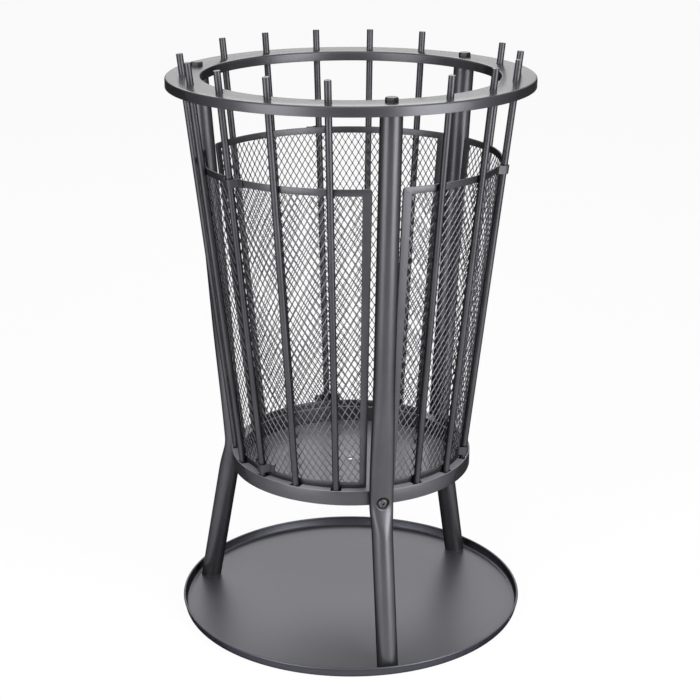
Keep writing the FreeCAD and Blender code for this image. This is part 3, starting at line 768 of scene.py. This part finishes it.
def makeClip(name, side, angle, low):
    # a strip bent over the middle bar, with flat ears on the panel's face
    line = clipLine(low + clip["height"] / 2)
    sides = [[], []]
    for number, point in enumerate(line):
        before = point - line[number - 1] if number else line[1] - point
        after = line[number + 1] - point if number < len(line) - 1 else before
        along = (before.normalized() + after.normalized()).normalized()
        normal = Vector((-along.y, along.x)) * clip["sheet"] / 2
        sides[0].append(point + normal)
        sides[1].append(point - normal)
    outline = sides[0] + sides[1][::-1]
    shape = bmesh.new()
    rows = []
    for rise in (0, clip["height"]):
        row = []
        for point in outline:
            height = low + rise / barStretch - point.x * barSlope / barStretch
            out = barPitch(low) + rise * barSlope / barStretch + point.x / barStretch
            row.append(shape.verts.new(turned(out, point.y, height, angle)))
        rows.append(row)
    bridge(shape, rows[0], rows[1])
    for row in rows:
        for number in range(len(line) - 1):
            shape.faces.new([row[number], row[number + 1], row[-2 - number], row[-1 - number]])
    ending = name + "_" + side
    piece = addPiece("Clip_" + ending, shape, "panel_" + side, ["panel_clip_" + ending], "bar_paint")
    return soften(piece, clip["soft"])


for side, angle in panelAngles.items():
    makePanelFrame(side, angle)
    makeMesh(side, angle)
    makeClip("low", side, angle, clip["low"])
    makeClip("top", side, angle, clip["top"])
print("panels:", len(panelAngles))


# fasteners and caps keep their CAD shape and get a finish

carriedOver = {
    "top_bolt_": "bolt_paint", "leg_screw_": "dark_screw_steel", "leg_nut_": "zinc_steel",
    "leg_plug_": "zinc_steel", "foot_cap_": "black_plastic",
}
for name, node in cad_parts.items():
    for start, finish in carriedOver.items():
        if name.startswith(start):
            for materialSlot in node.material_slots:
                materialSlot.material = finishes[finish]
print("carried over:", len(carriedOver), "kinds")


# floor, world, lamps and camera

studio = {
    "floorSize": 60, "floorTone": 0.86, "floorDrift": 0.02, "floorClouds": 3.0,
    "floorGlow": 0.94,    # how white the eye sees the floor
    "floorLift": 0.5,     # what gloss sees of it beyond the light that falls on it
    "worldFill": 0.2,
}


def makeStudio():
    bpy.ops.mesh.primitive_plane_add(size=studio["floorSize"], location=(0, 0, 0))
    floor = bpy.context.object
    floor.name = "StudioFloor"
    shader = Finish(bpy.data.materials.new("PaleFloor"))
    place = shader.node("ShaderNodeTexCoord", output="Object")
    clouds = shader.noise(place, studio["floorClouds"])
    tone = shader.blend(clouds, grey(studio["floorTone"] - studio["floorDrift"]), grey(studio["floorTone"]))
    matt = shader.node("ShaderNodeBsdfPrincipled", {}, {
        "Base Color": tone, "Roughness": 0.9, "Specular IOR Level": 0.1})
    white = shader.node("ShaderNodeEmission", {}, {"Color": grey(1), "Strength": 1.0})
    camera, gloss, through = rayKinds(shader)
    seen = shader.node("ShaderNodeMixShader", {}, {
        0: shader.span(camera + through, 0, 1) * studio["floorGlow"], 1: matt, 2: white})
    lift = shader.node("ShaderNodeEmission", {}, {
        "Color": grey(1), "Strength": gloss * studio["floorLift"]})
    shader.close(shader.node("ShaderNodeAddShader", {}, {0: seen, 1: lift}))
    floor.data.materials.append(shader.owner)

    world = bpy.data.worlds.new("Studio")
    bpy.context.scene.world = world
    shader = Finish(world, "ShaderNodeOutputWorld")
    camera, gloss, through = rayKinds(shader)
    level = shader.span(camera + gloss + through, 0, 1, studio["worldFill"], 1.0)
    shader.close(shader.node("ShaderNodeBackground", {}, {"Color": grey(1), "Strength": level}))


def rayKinds(shader):
    # 1 where the eye sees a surface straight, in gloss or through glass
    return [shader.node("ShaderNodeLightPath", output=f"Is {kind} Ray")
            for kind in ("Camera", "Glossy", "Transmission")]


view = {
    "angle": -12.95, "distance": 1.896, "height": 0.9735, "pitch": 18.695,
    "sensor": 36, "lens": 84.1, "shift": -0.0013,
}

# soft boxes: the angle counts from the view direction, the height is of the middle,
# and each faces the axis of the basket at its aim height
lamps = {
    "LeftBox": {
        "angle": -43, "distance": 1.3, "height": 0.8, "aim": 0.7, "wide": 0.8, "tall": 1.6, "power": 23},
    "RightBox": {
        "angle": 48, "distance": 1.3, "height": 0.8, "aim": 0.7, "wide": 0.85, "tall": 1.6, "power": 35},
    "BackBox": {
        "angle": 190, "distance": 2.6, "height": 2.2, "aim": 0.5, "wide": 2.4, "tall": 1.2, "power": 19},
    "TopBox": {
        "angle": 0, "distance": 0.3, "height": 2.3, "aim": 0.3, "wide": 1.7, "tall": 1.7, "power": 9},
}


def makeLamps():
    for name, lamp in lamps.items():
        light = bpy.data.lights.new(name, "AREA")
        light.shape = "RECTANGLE"
        light.size = lamp["wide"]
        light.size_y = lamp["tall"]
        light.energy = lamp["power"]
        holder = bpy.data.objects.new(name, light)
        bpy.context.scene.collection.objects.link(holder)
        heading = math.radians(view["angle"] + lamp["angle"])
        place = Vector((math.sin(heading), -math.cos(heading), 0)) * lamp["distance"]
        place.z = lamp["height"]
        holder.location = place
        holder.rotation_euler = (Vector((0, 0, lamp["aim"])) - place).to_track_quat("-Z", "Y").to_euler()
        holder.visible_camera = False


def makeCamera():
    camera = bpy.data.objects.new("Camera", bpy.data.cameras.new("Camera"))
    bpy.context.scene.collection.objects.link(camera)
    heading = math.radians(view["angle"])
    away = Vector((math.sin(heading), -math.cos(heading), 0)) * view["distance"]
    camera.location = (away.x, away.y, view["height"])
    camera.rotation_euler = (math.radians(90 - view["pitch"]), 0, heading)
    camera.data.sensor_width = view["sensor"]
    camera.data.lens = view["lens"]
    camera.data.shift_x = view["shift"]
    bpy.context.scene.camera = camera


makeStudio()
makeLamps()
makeCamera()
bpy.context.scene.view_settings.view_transform = "Standard"
print("studio: floor, world,", len(lamps), "lamps and the camera")
